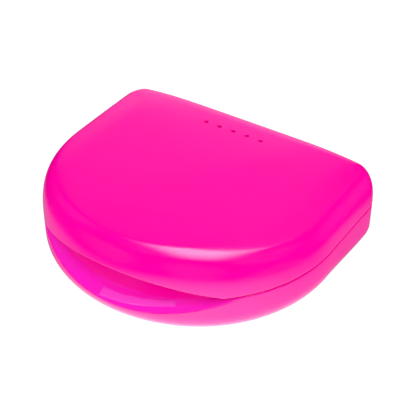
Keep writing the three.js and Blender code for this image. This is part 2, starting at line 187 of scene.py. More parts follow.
def facing(values):
    """Weighs a front, side and back value by the way in which the outline faces."""
    to_front, to_back = np.clip(-NY, 0, None) ** 2, np.clip(NY, 0, None) ** 2
    return values[0] * to_front + values[2] * to_back + values[1] * (1 - to_front - to_back)


def thumb_arc(height):
    """Height of the thumb arc over its chord, on the front of the case only."""
    reach = np.sqrt(np.clip(THUMB_ARC_RADIUS ** 2 - PX ** 2, 0, None))
    return np.where(NY < 0, np.clip(reach - (THUMB_ARC_RADIUS - height), 0, None), 0.0)


def ring(inset, z):
    """Outline moved inwards by inset, at height z, as plan points."""
    z = np.broadcast_to(z, PX.shape)
    return np.stack([PX - NX * inset, PY - NY * inset, z], axis=1)


def curve_point(a, corner, b, t):
    """Point at share t of the curve that starts at a towards corner and ends at b."""
    return tuple((1 - t) ** 2 * p + 2 * t * (1 - t) * c + t * t * q for p, c, q in zip(a, corner, b))


def bend(a, corner, b, steps):
    """Points along that curve, both ends included."""
    return [curve_point(a, corner, b, t) for t in np.linspace(0, 1, steps + 1)]


def ease(low, high, value):
    """Smooth step from 0 at low to 1 at high."""
    t = np.clip((value - low) / (high - low), 0, 1)
    return t * t * (3 - 2 * t)


# ---- Mesh making -----------------------------------------------------------------------------

def new_object(name, points, faces):
    """Makes an object from plan millimetres, placed in the frame's metres."""
    mesh = bpy.data.meshes.new(name)
    placed = (np.asarray(points, float) + (0, FRONT_Y, 0)) * MM
    mesh.from_pydata(placed.tolist(), [], faces)
    mesh.update()
    obj = bpy.data.objects.new(name, mesh)
    bpy.context.scene.collection.objects.link(obj)
    return obj


def skin(name, first_pole, rings, last_pole):
    """Closes a stack of rings into one skin, with a fan at each end."""
    count, last = len(rings[0]), len(rings) - 1
    points = np.concatenate([[first_pole], *rings, [last_pole]])
    faces = []
    for i in range(count):
        j = (i + 1) % count
        faces.append((0, 1 + j, 1 + i))
        faces.append((len(points) - 1, 1 + last * count + i, 1 + last * count + j))
        for r in range(last):
            low, high = 1 + r * count, 1 + (r + 1) * count
            faces.append((low + i, low + j, high + j, high + i))
    return new_object(name, points, faces)


def turned(name, profile, centre, along_x=False, sides=40):
    """A body turned about a line through centre: profile holds (along, radius) pairs."""
    angles = np.linspace(0, 2 * math.pi, sides, endpoint=False)
    flat = np.zeros(sides)

    def place(along, across, up):
        columns = [along, across, up] if along_x else [across, up, along]
        return np.stack(columns, axis=1) + centre

    rings = [place(flat + along, r * np.cos(angles), r * np.sin(angles)) for along, r in profile]
    ends = [rings[0].mean(axis=0), rings[-1].mean(axis=0)]
    return skin(name, ends[0], rings, ends[1])


def loft(name, sections):
    """Joins closed sections of one size along a path, and caps both ends."""
    count, last = len(sections[0]), len(sections) - 1
    faces = []
    for s in range(last):
        for i in range(count):
            j = (i + 1) % count
            faces.append((s * count + i, s * count + j, (s + 1) * count + j, (s + 1) * count + i))
    faces.append(tuple(range(count))[::-1])
    faces.append(tuple(last * count + i for i in range(count)))
    return new_object(name, np.concatenate(sections), faces)


def cut_corners(points, rounds):
    """Rounds a closed outline off by cutting each corner, again and again."""
    for _ in range(rounds):
        after = np.roll(points, -1, axis=0)
        pairs = [0.75 * points + 0.25 * after, 0.25 * points + 0.75 * after]
        points = np.stack(pairs, axis=1).reshape(-1, 2)
    return points


def draw_in(points, distance):
    """Moves a closed counter-clockwise outline inwards by distance."""
    along = np.roll(points, -1, axis=0) - np.roll(points, 1, axis=0)
    inward = np.stack([-along[:, 1], along[:, 0]], axis=1)
    return points + distance * inward / np.linalg.norm(inward, axis=1, keepdims=True)


def smooth(obj, angle):
    """Smooth shading, with edges sharper than angle kept crisp."""
    obj.data.shade_smooth()
    obj.data.set_sharp_from_angle(angle=math.radians(angle))


def combine(target, tools, operation):
    """Applies one exact boolean for each tool, and deletes the tools."""
    for tool in tools:
        cut = target.modifiers.new("combine", "BOOLEAN")
        cut.operation = operation
        cut.solver = "EXACT"
        cut.object = tool
    evaluated = target.evaluated_get(bpy.context.evaluated_depsgraph_get())
    mesh = bpy.data.meshes.new_from_object(evaluated)
    target.modifiers.clear()
    old = target.data
    target.data = mesh
    bpy.data.meshes.remove(old)
    for tool in tools:
        bpy.data.objects.remove(tool)


# ---- Hinge -----------------------------------------------------------------------------------

def knuckle_profile(side):
    """Outline of a knuckle and its web, as (y, z): side is 1 on the lid and -1 on the base."""
    centre = HINGE_Y - FRONT_Y
    root = CASE_DEPTH - 0.6 * WALL
    web, web_top = root + 0.9, KNUCKLE_RADIUS + 1.1
    near = PARTING_GAP / 2
    start = math.asin(near / KNUCKLE_RADIUS)
    turn = np.linspace(math.pi + start, -math.pi / 2, 28)
    barrel = [(centre + KNUCKLE_RADIUS * math.cos(a), -KNUCKLE_RADIUS * math.sin(a)) for a in turn]
    flare = bend((centre, KNUCKLE_RADIUS), (web, KNUCKLE_RADIUS), (web, web_top), 8)
    outline = [(root, near), *barrel, *flare[1:], (root, web_top)]
    points = np.array([(y, PARTING_Z + side * z) for y, z in outline])
    return points if side > 0 else points[::-1]


def knuckles(first, side):
    """Every second knuckle of the hinge, with softened ends."""
    profile = knuckle_profile(side)
    half, soft = KNUCKLE_LENGTH / 2, 0.35
    turns = np.linspace(0, math.pi / 2, 5)
    stops = [(soft * (1 - math.cos(a)), soft * (1 - math.sin(a))) for a in turns]
    made = []
    for index in range(first, KNUCKLE_COUNT, 2):
        x = (index - (KNUCKLE_COUNT - 1) / 2) * (KNUCKLE_LENGTH + KNUCKLE_GAP)
        ends = [(x - half + along, inwards) for along, inwards in stops]
        ends += [(x + half - along, inwards) for along, inwards in stops[::-1]]
        sections = [np.insert(draw_in(profile, inwards), 0, at, axis=1) for at, inwards in ends]
        made.append(loft("knuckle", sections))
    return made


def hinge_line(profile, name, sides=40):
    """A body turned about the hinge's axis."""
    return turned(name, profile, (0, HINGE_Y - FRONT_Y, PARTING_Z), along_x=True, sides=sides)


def add_hinge(shell, first, side):
    """Joins the shell's knuckles to it, and bores them."""
    combine(shell, knuckles(first, side), "UNION")
    reach = KNUCKLE_COUNT * KNUCKLE_LENGTH
    combine(shell, [hinge_line([(-reach, BORE_RADIUS), (reach, BORE_RADIUS)], "bore")], "DIFFERENCE")


def make_pin():
    """Drawn wire with rounded ends and a small punched dimple in each."""
    low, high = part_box("hinge_pin")
    half, radius = high.x / MM, (high.z - low.z) / 2 / MM
    soft = 0.3
    turns = np.linspace(math.pi / 2, 0, 6)
    end = [(0.25, 0.0), (0.12, 0.2), (0.0, 0.42)]
    end += [(soft * (1 - math.sin(a)), radius - soft * (1 - math.cos(a))) for a in turns]
    profile = [(-half + along, r) for along, r in end] + [(half - along, r) for along, r in end[::-1]]
    return hinge_line(profile[1:-1], "hinge_wire", 48)


# ---- Case base -------------------------------------------------------------------------------

SCOOP_RISE = thumb_arc(SCOOP_HEIGHT)
SCOOP_SHARE = np.sqrt(SCOOP_RISE / SCOOP_HEIGHT)
CORNER_SHARE = ease(ROUNDING_EASES_FROM_Y, CASE_DEPTH - CORNER_RADIUS - 1.0, PY)
CORNER_LIMIT = BASE_ROUNDING[1] + (CORNER_ROUNDING - BASE_ROUNDING[1]) * CORNER_SHARE
ROUNDING = np.minimum(facing(BASE_ROUNDING), CORNER_LIMIT)


def base_wall(z, thickness=0.0):
    """Inset of the base wall's outer face at height z, or of its inner face."""
    radius = ROUNDING - thickness
    drop = np.clip(ROUNDING - z, 0, None)
    rounding = ROUNDING - np.sqrt(np.clip(radius ** 2 - drop ** 2, 0, None))
    return BASE_DRAFT * (1 - z / PARTING_Z) + rounding


def scoop_curve(low, high, t):
    """Concave curve that steepens from a low outer edge up to a high inner one."""
    corner = [a + share * (b - a) for a, b, share in zip(low, high, SCOOP_CORNER)]
    return curve_point(low, corner, high, t)


def scoop_ends():
    """Inset and height of the scoop's lower outer edge and of its top."""
    edge_z, top_z = RIM_Z - SCOOP_RISE, RIM_Z - SCOOP_TOP_DROP * SCOOP_RISE
    return (base_wall(edge_z), edge_z), (RIM_LAND + SCOOP_INSET * SCOOP_SHARE, top_z)


def base_rows():
    """Insets and heights of the base's section, from the underside round to the floor."""
    rows = []
    low, high = scoop_ends()
    edge_z = low[1]
    rounding_top = np.minimum(ROUNDING, edge_z - 1.0)
    sweep = np.arccos(1 - rounding_top / ROUNDING)
    for step in np.linspace(0, 1, 15):
        z = ROUNDING * (1 - np.cos(step * sweep))
        rows.append((base_wall(z), z))
    for share in (0.25, 0.5, 0.75):
        z = rounding_top + share * (edge_z - EDGE_RADIUS - rounding_top)
        rows.append((base_wall(z), z))

    reach = [share * (b - a) for a, b, share in zip(low, high, SCOOP_CORNER)]
    first = EDGE_RADIUS / (2 * np.hypot(*reach))
    below = (base_wall(edge_z - EDGE_RADIUS), edge_z - EDGE_RADIUS)
    rows += bend(below, low, scoop_curve(low, high, first), 4)
    for step in np.linspace(0, 1, 13)[1:]:
        rows.append(scoop_curve(low, high, first + step * (1 - first)))

    share = np.where(NY < 0, np.clip(1 - (PX / TONGUE_HALF_WIDTH) ** 2, 0, None), 0.0)
    top_z = RIM_Z + TONGUE_HEIGHT * share
    lean = RIM_DRAFT + TONGUE_LEAN * share
    inner_foot = WALL + (SCOOP_INSET + SCOOP_EXTRA_INSIDE) * SCOOP_SHARE
    outer, inner = high[0] + lean, inner_foot + TONGUE_LEAN * share
    soft = 0.25 * np.clip(share * 8, 0, 1)
    for part in (0.02, 0.3, 0.6):
        rows.append((high[0] + part * lean, high[1] + part * (top_z - high[1])))
    rows += bend((outer, top_z - soft), (outer, top_z), (outer + 0.25, top_z), 3)
    rows += bend((inner - 0.25, top_z), (inner, top_z), (inner, top_z - 0.25), 3)

    foot_z = edge_z - 1.3
    foot = (base_wall(foot_z, WALL), foot_z)
    head = (np.maximum(foot[0], inner_foot), np.minimum(high[1] + 0.4, RIM_Z - 0.5))
    for t in np.linspace(1, 0, 11):
        rows.append(scoop_curve(foot, head, t))
    inner_top = np.minimum(ROUNDING, foot_z - 0.8)
    for step in np.linspace(1, 0, 13):
        z = WALL + (inner_top - WALL) * (1 - np.cos(step * math.pi / 2))
        rows.append((base_wall(z, WALL), z))
    return rows


def toward_centre(edge, shares, z):
    """Copies of an edge ring drawn in to the middle of the case, at height z or z(x, y)."""
    rings = []
    for share in shares:
        x = edge[:, 0] * share
        y = CENTRE_Y + (edge[:, 1] - CENTRE_Y) * share
        height = z(x, y) if callable(z) else np.full(len(x), float(z))
        rings.append(np.stack([x, y, height], axis=1))
    return rings


def across_front(x, *rows):
    """The values of some outline rows at x, on the front of the case."""
    front_half = slice(0, np.argmax(PX))
    return [np.interp(abs(x), PX[front_half], row[front_half]) for row in rows]


def make_pad():
    """Low grip pad on the scoop. Its edges are soft, and its top runs out into the scoop."""
    low, high = scoop_ends()
    sections = []
    for t in np.linspace(0, 1, 61):
        x = PAD_TO + t * (PAD_FROM - PAD_TO)
        from_end = min(t, 1 - t) * (PAD_TO - PAD_FROM)
        proud = PAD_PROUD * math.sqrt(1 - (1 - min(from_end / PAD_PROUD, 1)) ** 2) + 0.01
        column = across_front(x, *low, *high)
        start, stop = PAD_LOW_EDGE[1] + t * (PAD_LOW_EDGE[0] - PAD_LOW_EDGE[1]), PAD_TOP_EDGE
        nx, ny = x / FRONT_RADIUS, -math.sqrt(1 - (x / FRONT_RADIUS) ** 2)
        front, back = [], []
        for share in np.linspace(start, stop, 17):
            inset, z = scoop_curve(column[:2], column[2:], share)
            low_step = ease(start - 0.01, start + 0.07, share)
            rise = proud * min(low_step, 1 - 0.9 * ease(start + 0.2, stop, share))
            front.append((inset - PAD_OUTWARDS * rise, z + PAD_UPWARDS * rise))
            back.append((inset + PAD_PROUD, z - PAD_UPWARDS * PAD_PROUD))
        outline = front + back[::-1]
        sections.append([(x - nx * i, FRONT_RADIUS * (1 + ny) - ny * i, z) for i, z in outline])
    return loft("pad", sections)


def scoop_painted_light_marks(points):
    """How strong the painted light on the scoop is at each point, from 0 to 1, and if the point is on
    the pad. The painted light is a lighter, more violet colour that stands in for the brighter light
    on the ledge, weaker towards its top.
    """
    x, y, z = (points / MM).T
    inset = FRONT_RADIUS - np.hypot(x, y - FRONT_Y - FRONT_RADIUS)
    low, high = scoop_ends()
    low_z, high_z, high_inset, deep = across_front(x, low[1], high[1], high[0], SCOOP_SHARE)
    up = (z - low_z) / np.maximum(high_z - low_z, 0.1)
    along = np.linspace(0, 1, 101)
    across_curve, up_curve = [2 * along * (1 - along) * share + along ** 2 for share in SCOOP_CORNER]
    proud = np.interp(up, up_curve, across_curve) * high_inset - inset
    outside = (y < FRONT_Y + SCOOP_ENDS_BY_Y) & (inset < high_inset + 0.3)
    # Painted light: the scoop goes lighter and more violet where its ledge is brighter lit, less so
    # towards its top.
    painted_light_tint = ease(0.0, 0.25, deep) * (1 - 0.55 * ease(0.3, 1.0, up))
    painted_light_tint[~outside | (up < -0.01) | (up > 1.01)] = 0
    # Faces of the pad, which get a lighter painted reflection.
    pad_painted_light_mask = outside & (proud > PAD_PAINTED_LIGHT_FROM) & (up > 0.02) & (up < 0.98)
    return painted_light_tint, pad_painted_light_mask & (x > PAD_FROM - 0.05) & (x < PAD_TO + 0.05)


def paint_scoop_light(base):
    """Stores how strongly the painted light on the scoop shows: up to 1 on the scoop, and 2 on its
    pad, which gets a lighter painted reflection.
    """
    mesh = base.data
    points = np.empty(len(mesh.vertices) * 3, np.float32)
    mesh.vertices.foreach_get("co", points)
    centres = np.empty(len(mesh.polygons) * 3, np.float32)
    mesh.polygons.foreach_get("center", centres)
    painted_light_tint = scoop_painted_light_marks(points.reshape(-1, 3))[0]
    pad_painted_light_mask = scoop_painted_light_marks(centres.reshape(-1, 3))[1]
    corner_points = np.empty(len(mesh.loops), np.int32)
    mesh.loops.foreach_get("vertex_index", corner_points)
    sizes = np.empty(len(mesh.polygons), np.int32)
    mesh.polygons.foreach_get("loop_total", sizes)
    # Pad faces get the value 2, for their painted reflection; other corners get the scoop's painted
    # light.
    values = np.where(np.repeat(pad_painted_light_mask, sizes), 2.0, painted_light_tint[corner_points])
    attribute = mesh.attributes.new("scoop_painted_light", "FLOAT", "CORNER")
    attribute.data.foreach_set("value", values.astype(np.float32))


def make_base():
    """Base shell with its scoop and tongue, a recessed panel below, the pad and three knuckles."""
    rings = [ring(inset, z) for inset, z in base_rows()]
    panel = toward_centre(rings[0], (0.3, 0.6, 0.86, 0.87), PANEL_RECESS)
    panel += toward_centre(rings[0], (0.885, 0.9, 0.95), 0.0)
    floor = toward_centre(rings[-1], (0.95, 0.7, 0.35), WALL)
    base = skin("case_base", (0, CENTRE_Y, PANEL_RECESS), panel + rings + floor, (0, CENTRE_Y, WALL))
    combine(base, [make_pad()], "UNION")
    # Stores where the scoop's painted light goes.
    paint_scoop_light(base)
    add_hinge(base, 0, -1)
    return base


# ---- Case lid --------------------------------------------------------------------------------

def roll_inset(angle):
    """How far the roll has come in at an angle up it, as a share of its reach."""
    return 1 - np.cos(angle) ** (2 / LID_ROLL_POWER)


def roll_height(angle):
    """How high the roll has come at an angle up it, as a share of its rise."""
    return np.sin(angle) ** (2 / LID_ROLL_POWER)


ROLL_REACH = facing(LID_ROLL_INSET)
CREASE = [reach * roll_inset(LID_ROLL_END) for reach in LID_ROLL_INSET]
CREASE_START = LID_ROLL_END - np.radians(facing(CREASE_SOFTNESS_DEG))
CREASE_FOOT = 1 - facing(CREASE_ON_TOP)
DOME_REACH = [half - inset for half, inset in zip((CENTRE_Y, PX.max(), CENTRE_Y), CREASE)]


def dome_z(x, y):
    """Height of the domed top, which falls towards its front, side and back edges."""
    back = y > CENTRE_Y
    along_x = DOME_SAG[1] * (x / DOME_REACH[1]) ** 2
    sag = np.where(back, DOME_SAG[2], DOME_SAG[0])
    reach = np.where(back, DOME_REACH[2], DOME_REACH[0])
    along_y = sag * ((y - CENTRE_Y) / reach) ** 2
    return CASE_TOP - np.cbrt(along_x ** 3 + along_y ** 3)


def roll_rise(thickness=0.0):
    """Full height of the roll above the parting line, so that it ends on the domed top."""
    end = ring(facing(CREASE), 0.0)
    return (dome_z(end[:, 0], end[:, 1]) - thickness - PARTING_Z) / roll_height(LID_ROLL_END)


def lid_roll(angle, thickness=0.0):
    """Inset and height on the lid's side, a quarter of a superellipse."""
    inset = thickness + (ROLL_REACH - thickness) * roll_inset(angle)
    return inset, PARTING_Z + roll_rise(thickness) * roll_height(angle)


def lid_side(low_z, thickness=0.0, stop=LID_ROLL_END, steps=26):
    """Rows from height low_z up to the crease."""
    share = np.clip((low_z - PARTING_Z) / roll_rise(thickness), 0, 1)
    start = np.arcsin(share ** (LID_ROLL_POWER / 2))
    turns = np.linspace(0, 1, steps) ** 1.4
    return [lid_roll(start + turn * (stop - start), thickness) for turn in turns]


def lid_dome(shares, thickness=0.0):
    """Rings of the domed top, or of the ceiling under it."""
    edge = ring(*lid_roll(LID_ROLL_END, thickness))
    return toward_centre(edge, shares, lambda x, y: dome_z(x, y) - thickness)


def soft_crease(steps=10):
    """Rings that ease from the side into the top: crisp at the front, broad at the sides."""
    side = ring(*lid_roll(CREASE_START))
    crease = ring(*lid_roll(LID_ROLL_END))
    top = lid_dome([CREASE_FOOT])[0]
    shares = np.linspace(0, 1, steps)
    return [(1 - t) ** 2 * side + 2 * t * (1 - t) * crease + t * t * top for t in shares]


def vent_cutter(index):
    """A drill with a flared mouth, for one vent near the hinge edge of the domed top."""
    x = (index - (VENT_COUNT - 1) / 2) * VENT_PITCH
    y = CASE_DEPTH - VENT_FROM_BACK
    top = float(dome_z(np.array(x), np.array(y)))
    flare = ((-3.0, 0.0), (-0.22, 0.0), (-0.1, 0.05), (0.0, 0.2), (1.0, 0.5))
    profile = [(height, VENT_RADIUS + wider) for height, wider in flare]
    return turned("vent", profile, (x, y, top), sides=26)


def make_lid():
    """Lid shell with its arch, domed top, two knuckles and vents."""
    shares = (0.06, 0.14, 0.24, 0.35, 0.46, 0.57, 0.68, 0.78, 0.87, 0.94, 0.98)
    rim_z = LID_RIM_Z + thumb_arc(LID_ARCH_HEIGHT)
    inner_rows = lid_side(rim_z + EDGE_RADIUS, WALL)
    outer_rows = lid_side(rim_z + EDGE_RADIUS, stop=CREASE_START)
    inner, outer = lid_side(rim_z, WALL)[0][0], lid_side(rim_z)[0][0]
    edge = bend(inner_rows[0], (inner, rim_z), (inner - EDGE_RADIUS, rim_z), 4)
    edge += bend((outer + EDGE_RADIUS, rim_z), (outer, rim_z), outer_rows[0], 4)

    rings = lid_dome(shares, WALL)
    rings += [ring(inset, z) for inset, z in [*inner_rows[:0:-1], *edge, *outer_rows[1:-1]]]
    rings += soft_crease()
    rings += lid_dome([CREASE_FOOT * share for share in shares[::-1]])
    ceiling, top = (0, CENTRE_Y, CASE_TOP - WALL), (0, CENTRE_Y, CASE_TOP)
    lid = skin("case_lid", ceiling, rings, top)
    add_hinge(lid, 1, 1)
    combine(lid, [vent_cutter(index) for index in range(VENT_COUNT)], "DIFFERENCE")
    return lid


# ---- Mouthguard ------------------------------------------------------------------------------

ARCH_Y = GUARD_FRONT_GAP + GUARD_HALF + ARCH_DEPTH


def arch_stations(arch_steps=60, leg_steps=16):
    """Columns x, y, nx, ny, to_molar, length along the arch, from the right heel to the left."""
    rows = []
    for a in np.linspace(0, math.pi / 2, arch_steps, endpoint=False):
        x, y = ARCH_HALF_WIDTH * math.sin(a), ARCH_Y - ARCH_DEPTH * math.cos(a)
        normal = np.array((ARCH_DEPTH * math.sin(a), -ARCH_HALF_WIDTH * math.cos(a)))
        normal /= np.linalg.norm(normal)
        rows.append((x, y, *normal, 0.8 * a / (math.pi / 2)))
    for t in 1 - (1 - np.linspace(0, 1, leg_steps)) ** 1.7:
        x, y = ARCH_HALF_WIDTH + LEG_SPREAD * t, ARCH_Y + LEG_LENGTH * t
        rows.append((x, y, 1.0, 0.0, 0.8 + 0.2 * t))
    right = np.array(rows)
    steps = np.hypot(*np.diff(right[:, :2], axis=0).T)
    right = np.column_stack([right, np.concatenate([[0], np.cumsum(steps)])])
    left = right[1:] * (-1, 1, -1, 1, 1, -1)
    return np.concatenate([right[::-1], left])


def guard_heights(x, to_molar):
    """Heights of the wall towards the lips and of the one towards the tongue."""
    fall = ease(0.3, 1.0, to_molar)
    notch = FRENUM_NOTCH * math.exp(-((x / 3) ** 2)) if to_molar < 0.5 else 0.0
    return FRONT_HEIGHT + (MOLAR_HEIGHT - FRONT_HEIGHT) * fall - notch, TONGUE_SIDE_HEIGHT - fall


def shell_profile(lip, tongue):
    """Trough section as (across, up), with across positive towards the lips."""
    h, w = GUARD_HALF, SHELL_WALL
    return np.array([
        (h - 2.2, 0), (h - 0.5, 1.2), (h, 3.5), (h - 0.15, lip * 0.6), (h - 0.3, lip - 1.2),
        (h - 1.2, lip), (h - w, lip - 1.0), (h - w, w + 1), (h - w - 1, w), (1 + w - h, w),
        (w - h, w + 1), (w - h, tongue - 0.8), (1.2 - h, tongue), (0.3 - h, tongue - 1.0),
        (-h, 3), (0.5 - h, 1.1), (2 - h, 0)])


def liner_profile(lip, tongue):
    """Section of the liner, a layer gap inside the shell's trough."""
    h = GUARD_HALF - SHELL_WALL - LAYER_GAP
    floor, w = SHELL_WALL + LAYER_GAP, LINER_WALL
    seat = floor + w
    return np.array([
        (h - 1.1, floor), (h, floor + 1.1), (h, lip - 2.2), (h - 0.7, lip - 1.5),
        (h - w, lip - 2.2), (h - w, seat + 0.8), (h - w - 0.8, seat), (0.8 + w - h, seat),
        (w - h, seat + 0.8), (w - h, tongue - 2.0), (0.7 - h, tongue - 1.4),
        (-h, tongue - 2.0), (-h, floor + 1.1), (1.1 - h, floor)])


def wave(length, pitch, sharpness):
    """A soft ridge for every pitch of length, from 0 to 1."""
    return (0.5 + 0.5 * math.cos(2 * math.pi * length / pitch)) ** sharpness


def shell_relief(points, length, to_molar, lip):
    """Grip grooves down the cheek side and across the bite face, towards the molars."""
    across, up = points.T
    in_reach = ease(0.42, 0.52, to_molar) * (1 - ease(0.93, 0.98, to_molar))
    groove = wave(length, RIB_PITCH, 3) * in_reach
    cheek_height = ease(3, 5, up) * (1 - ease(lip - 5, lip - 3, up))
    cheek = ease(GUARD_HALF - 0.7, GUARD_HALF - 0.3, across) * cheek_height
    bite = (1 - ease(0.02, 0.3, up)) * (1 - ease(3.6, 4.8, np.abs(across)))
    return np.stack([across - 0.35 * groove * cheek, up + 0.35 * groove * bite], axis=1)


def liner_relief(points, length, to_molar, lip):
    """Soft fins on the channel's floor between the seats of the teeth."""
    across, up = points.T
    floor = SHELL_WALL + LAYER_GAP + LINER_WALL
    half = GUARD_HALF - SHELL_WALL - LAYER_GAP - LINER_WALL
    fin = wave(length, TOOTH_PITCH, 6) * (1 - ease(0.92, 0.97, to_molar))
    on_floor = ease(floor - 0.3, floor - 0.05, up) * (1 - ease(floor + 0.4, floor + 1.2, up))
    inside = 1 - ease(half - 0.6, half + 0.1, np.abs(across))
    return np.stack([across, up + 0.55 * fin * on_floor * inside], axis=1)


def make_trough(name, profile_at, relief, heel_radius):
    """Lofts a trough section along the dental arch, with rounded heels."""
    stations = arch_stations()
    whole = stations[0, 5]
    sections = []
    for x, y, nx, ny, to_molar, length in stations:
        wide = 1 + (MOLAR_WIDENING - 1) * ease(0.15, 0.9, to_molar)
        lip, tongue = guard_heights(x, to_molar)
        points = cut_corners(profile_at(lip, tongue), 3)
        points = relief(points, length, to_molar, lip)
        to_heel = min((whole - abs(length)) / heel_radius, 1)
        points = draw_in(points, heel_radius * (1 - math.sqrt(1 - (1 - to_heel) ** 2)))
        offset, height = points[:, 0] * wide, GUARD_FLOOR_Z + points[:, 1]
        sections.append(np.stack([x + nx * offset, y + ny * offset, height], axis=1))
    return loft(name, sections)


# ---- Materials -------------------------------------------------------------------------------

def new_material(name, **sockets):
    """A material, its node tree and its shader, with the named sockets set."""
    material = bpy.data.materials.new(name)
    material.use_nodes = True
    shader = material.node_tree.nodes["Principled BSDF"]
    for socket, value in sockets.items():
        shader.inputs[socket.replace("_", " ")].default_value = value
    return material, material.node_tree, shader


def noise(tree, scale, detail=3.0, roughness=0.5, stretch=(1, 1, 1)):
    """Noise on object coordinates. scale is in features to the metre."""
    coords = tree.nodes.new("ShaderNodeTexCoord")
    mapping = tree.nodes.new("ShaderNodeMapping")
    mapping.inputs["Scale"].default_value = stretch
    node = tree.nodes.new("ShaderNodeTexNoise")
    node.inputs["Scale"].default_value = scale
    node.inputs["Detail"].default_value = detail
    node.inputs["Roughness"].default_value = roughness
    tree.links.new(coords.outputs["Object"], mapping.inputs["Vector"])
    tree.links.new(mapping.outputs["Vector"], node.inputs["Vector"])
    return node.outputs["Fac"]


def spread(tree, value, low, high):
    """Maps a 0 to 1 value to a range."""
    node = tree.nodes.new("ShaderNodeMapRange")
    node.inputs["To Min"].default_value = low
    node.inputs["To Max"].default_value = high
    tree.links.new(value, node.inputs["Value"])
    return node.outputs["Result"]


def maths(tree, operation, *values):
    """One step of arithmetic on sockets and plain numbers."""
    node = tree.nodes.new("ShaderNodeMath")
    node.operation = operation
    for socket, value in zip(node.inputs, values):
        if isinstance(value, (int, float)):
            socket.default_value = value
        else:
            tree.links.new(value, socket)
    return node.outputs["Value"]


def mix_in_painted_light(tree, colour, share, painted_light_tint):
    """The colour mixed towards a painted light colour by a share, which is held between 0 and 1."""
    mix = tree.nodes.new("ShaderNodeMix")
    mix.data_type = "RGBA"
    mix.inputs["B"].default_value = (*painted_light_tint, 1)
    tree.links.new(share, mix.inputs["Factor"])
    tree.links.new(colour, mix.inputs["A"])
    return mix.outputs["Result"]


def blend_colours(tree, value, first, second):
    """A colour between two others, by a 0 to 1 value."""
    ramp = tree.nodes.new("ShaderNodeValToRGB")
    ramp.color_ramp.elements[0].color = (*first, 1)
    ramp.color_ramp.elements[0].position = 0.3
    ramp.color_ramp.elements[1].color = (*second, 1)
    ramp.color_ramp.elements[1].position = 0.7
    tree.links.new(value, ramp.inputs["Fac"])
    return ramp.outputs["Color"]


def bump(tree, shader, height, distance):
    """Bumps of a 0 to 1 height, distance metres high."""
    node = tree.nodes.new("ShaderNodeBump")
    node.inputs["Distance"].default_value = distance
    node.inputs["Strength"].default_value = 1.0
    tree.links.new(height, node.inputs["Height"])
    tree.links.new(node.outputs["Normal"], shader.inputs["Normal"])


def case_plastic():
    """Glossy moulded polypropylene, a little clouded, with painted light on the scoop and its pad: a
    lighter, more violet colour that stands in for the brighter light and reflection there.
    """
    material, tree, shader = new_material("case_plastic", IOR=1.5, Subsurface_Weight=0.15)
    shader.inputs["Subsurface Scale"].default_value = 0.0012
    shader.inputs["Subsurface Radius"].default_value = (1.0, 0.2, 0.5)
    clouds = blend_colours(tree, noise(tree, 45, 3), (0.94, 0.0, 0.335), (0.965, 0.0, 0.35))
    # Painted light: the scoop's colour is mixed towards a lighter violet that stands in for the
    # brighter light on its ledge.
    scoop_painted_light = tree.nodes.new("ShaderNodeAttribute")
    scoop_painted_light.attribute_name = "scoop_painted_light"
    ledge_painted_light = mix_in_painted_light(tree, clouds, scoop_painted_light.outputs["Fac"], (0.94, 0.012, 0.57))
    # Painted reflection: the pad's colour goes lighter still.
    pad_painted_light_share = maths(tree, "SUBTRACT", scoop_painted_light.outputs["Fac"], 1.0)
    tree.links.new(mix_in_painted_light(tree, ledge_painted_light, pad_painted_light_share, (0.93, 0.05, 0.6)), shader.inputs["Base Color"])
    tree.links.new(spread(tree, noise(tree, 140, 4), 0.1, 0.15), shader.inputs["Roughness"])
    bump(tree, shader, noise(tree, 1800, 2), 0.000003)
    return material


def pin_steel():
    """Bright drawn wire, with fine draw lines along it."""
    material, tree, shader = new_material("pin_steel", Metallic=1.0)
    lines = noise(tree, 9000, 3, 0.6, stretch=(0.01, 1, 1))
    colour = blend_colours(tree, lines, (0.55, 0.55, 0.57), (0.68, 0.68, 0.7))
    tree.links.new(colour, shader.inputs["Base Color"])
    tree.links.new(spread(tree, lines, 0.22, 0.4), shader.inputs["Roughness"])
    bump(tree, shader, lines, 0.000008)
    return material


def guard_rubber():
    """Satin black EVA with a fine pebbled skin and slightly dusty high spots."""
    material, tree, shader = new_material("guard_rubber", IOR=1.48)
    colour = blend_colours(tree, noise(tree, 160, 5, 0.6), (0.012, 0.012, 0.014), (0.026, 0.026, 0.03))
    tree.links.new(colour, shader.inputs["Base Color"])
    tree.links.new(spread(tree, noise(tree, 420, 4), 0.34, 0.52), shader.inputs["Roughness"])
    bump(tree, shader, noise(tree, 3200, 2), 0.00003)
    return material


def liner_gel():
    """Soft pink gel: wet-looking, cloudy and a little uneven."""
    material, tree, shader = new_material("liner_gel", IOR=1.45, Subsurface_Weight=0.6)
    shader.inputs["Subsurface Scale"].default_value = 0.002
    shader.inputs["Subsurface Radius"].default_value = (1.0, 0.35, 0.6)
    colour = blend_colours(tree, noise(tree, 130, 4, 0.55), (0.86, 0.1, 0.4), (0.95, 0.2, 0.52))
    tree.links.new(colour, shader.inputs["Base Color"])
    tree.links.new(spread(tree, noise(tree, 300, 3), 0.16, 0.3), shader.inputs["Roughness"])
    bump(tree, shader, noise(tree, 500, 3), 0.00005)
    return material


# ---- Camera, lights and floor ----------------------------------------------------------------

CAMERA_AZIMUTH = math.radians(32.958)
CAMERA_ELEVATION = math.radians(37.195)
CAMERA_DISTANCE = 0.340
CAMERA_LENS = 111.4
CAMERA_AIM = (2.317, 41.425, 10.0)
WHITE = 1.1
TOWARD = Vector((math.sin(CAMERA_AZIMUTH), -math.cos(CAMERA_AZIMUTH), 0))


